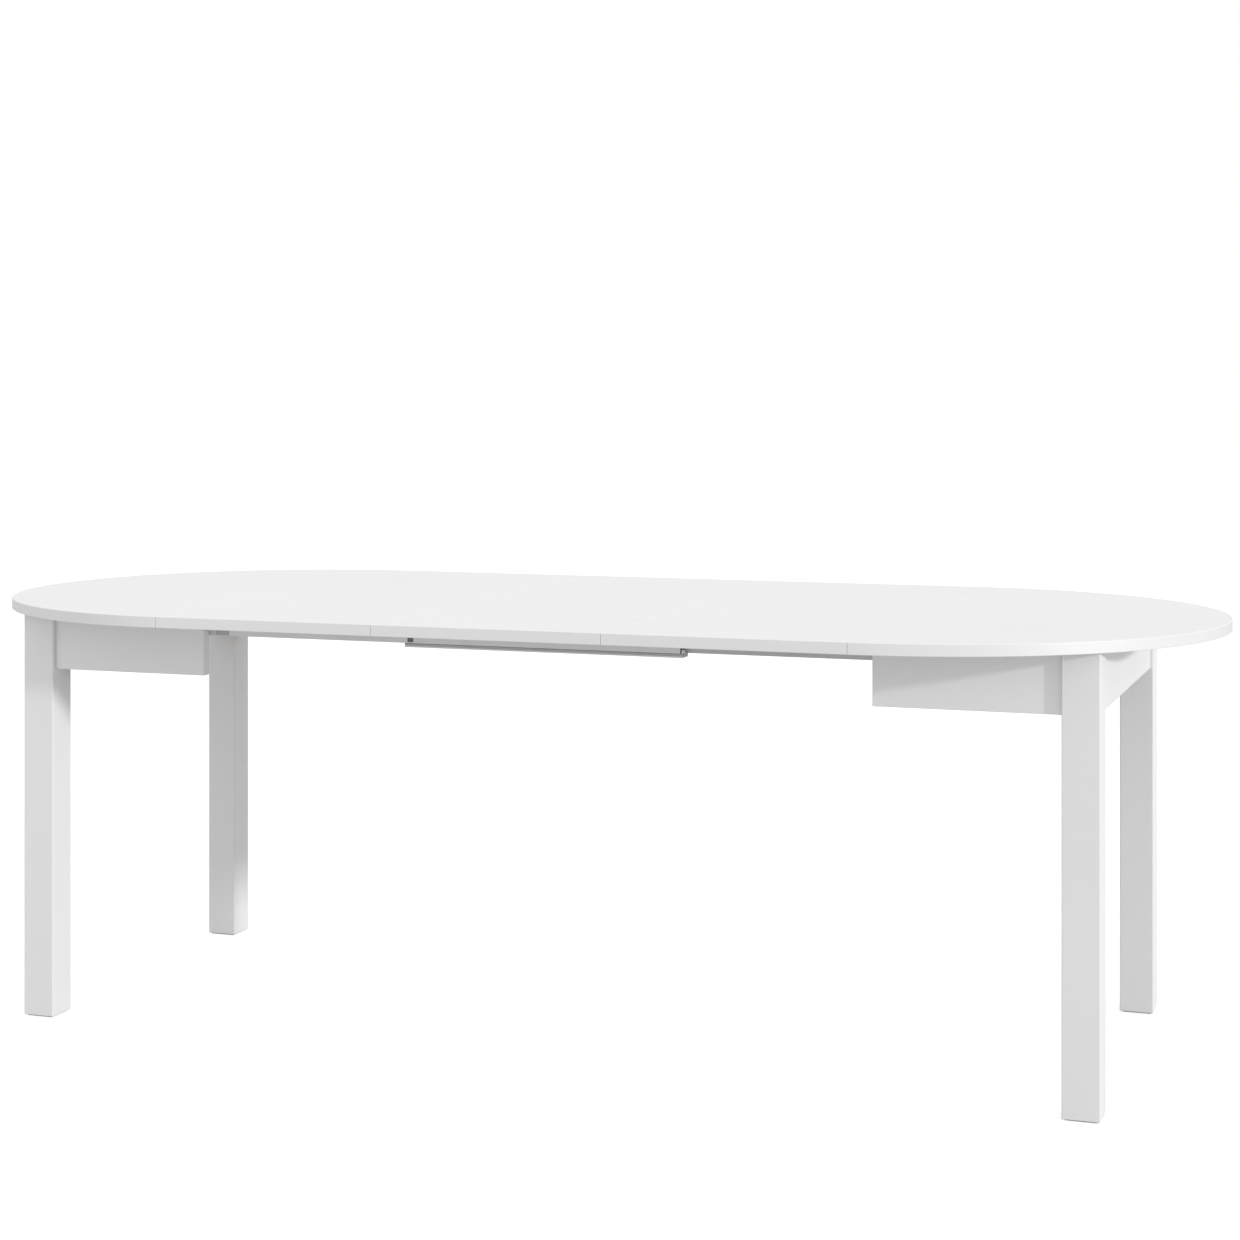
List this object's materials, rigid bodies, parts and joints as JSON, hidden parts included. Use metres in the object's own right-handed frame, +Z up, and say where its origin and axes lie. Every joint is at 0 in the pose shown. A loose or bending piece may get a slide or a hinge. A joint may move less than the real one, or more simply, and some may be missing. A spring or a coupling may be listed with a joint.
{
  "type": "extending dining table",
  "caption": "Round-ended dining table, drawn out on telescopic runners between its half tops, with loose leaves that lift out.",
  "frame": {"origin": "on the floor, under the middle of the extended top", "axes": "+X along the table from the fixed half to the sliding half, +Z up, -Y the front seen in the picture"},
  "size_m": [2.2506, 1.05, 0.745],
  "materials": {
    "white_laminate": "satin white laminate on particle board",
    "white_legs": "satin white wrapped board",
    "aluminium": "mill-finish extrusion",
    "black_plastic": "moulded matt",
    "grey_nylon": "moulded satin",
    "beech": "planed, unfinished",
    "zinc_steel": "zinc plated",
    "felt": "pressed felt"
  },
  "bodies": {
    "left_half": {"back_left_brace": "beech", "back_left_glide": "felt", "back_left_hanger_bolt": "zinc_steel", "back_left_leg": "white_legs", "back_left_mouth_pad": "black_plastic", "back_left_rail": "aluminium", "back_left_seam_pad": "grey_nylon", "back_left_seam_plate": "zinc_steel", "back_left_side_apron": "white_laminate", "back_left_top_bracket": "zinc_steel", "front_left_brace": "beech", "front_left_glide": "felt", "front_left_hanger_bolt": "zinc_steel", "front_left_leg": "white_legs", "front_left_mouth_pad": "black_plastic", "front_left_rail": "aluminium", "front_left_seam_pad": "grey_nylon", "front_left_seam_plate": "zinc_steel", "front_left_side_apron": "white_laminate", "front_left_top_bracket": "zinc_steel", "left_end_apron": "white_laminate", "left_top": "white_laminate"},
    "right_half": {"back_right_brace": "beech", "back_right_glide": "felt", "back_right_hanger_bolt": "zinc_steel", "back_right_leg": "white_legs", "back_right_rail": "aluminium", "back_right_rail_block": "beech", "back_right_seam_plate": "zinc_steel", "back_right_side_apron": "white_laminate", "back_right_top_bracket": "zinc_steel", "front_right_brace": "beech", "front_right_glide": "felt", "front_right_hanger_bolt": "zinc_steel", "front_right_leg": "white_legs", "front_right_rail": "aluminium", "front_right_rail_block": "beech", "front_right_seam_plate": "zinc_steel", "front_right_side_apron": "white_laminate", "front_right_top_bracket": "zinc_steel", "right_end_apron": "white_laminate", "right_top": "white_laminate"},
    "front_runner": {"front_runner_inner_stop": "black_plastic", "front_runner_inner_strip": "grey_nylon", "front_runner_middle": "aluminium", "front_runner_outer_stop": "black_plastic", "front_runner_outer_strip": "grey_nylon"},
    "back_runner": {"back_runner_inner_stop": "black_plastic", "back_runner_inner_strip": "grey_nylon", "back_runner_middle": "aluminium", "back_runner_outer_stop": "black_plastic", "back_runner_outer_strip": "grey_nylon"},
    "leaf_1": {"leaf_1_board": "white_laminate", "leaf_1_cleat": "beech"},
    "leaf_2": {"leaf_2_board": "white_laminate", "leaf_2_cleat": "beech"},
    "leaf_3": {"leaf_3_board": "white_laminate", "leaf_3_cleat": "beech"}
  },
  "joints": [
    {"name": "right_half_slide", "type": "slide", "parent": "left_half", "child": "right_half", "axis": [1, 0, 0], "range_m": [0, 0.04]},
    {"name": "front_runner_slide", "type": "slide", "parent": "left_half", "child": "front_runner", "axis": [1, 0, 0], "range_m": [0, 0.02]},
    {"name": "back_runner_slide", "type": "slide", "parent": "left_half", "child": "back_runner", "axis": [1, 0, 0], "range_m": [0, 0.02]},
    {"name": "leaf_1_lift", "type": "slide", "parent": "left_half", "child": "leaf_1", "axis": [0, 0, 1], "range_m": [0, 0.25]},
    {"name": "leaf_2_lift", "type": "slide", "parent": "left_half", "child": "leaf_2", "axis": [0, 0, 1], "range_m": [0, 0.25]},
    {"name": "leaf_3_lift", "type": "slide", "parent": "left_half", "child": "leaf_3", "axis": [0, 0, 1], "range_m": [0, 0.25]}
  ],
  "couplings": [
    {"joint": "front_runner_slide", "follows": "right_half_slide", "ratio": 0.5},
    {"joint": "back_runner_slide", "follows": "right_half_slide", "ratio": 0.5}
  ]
}
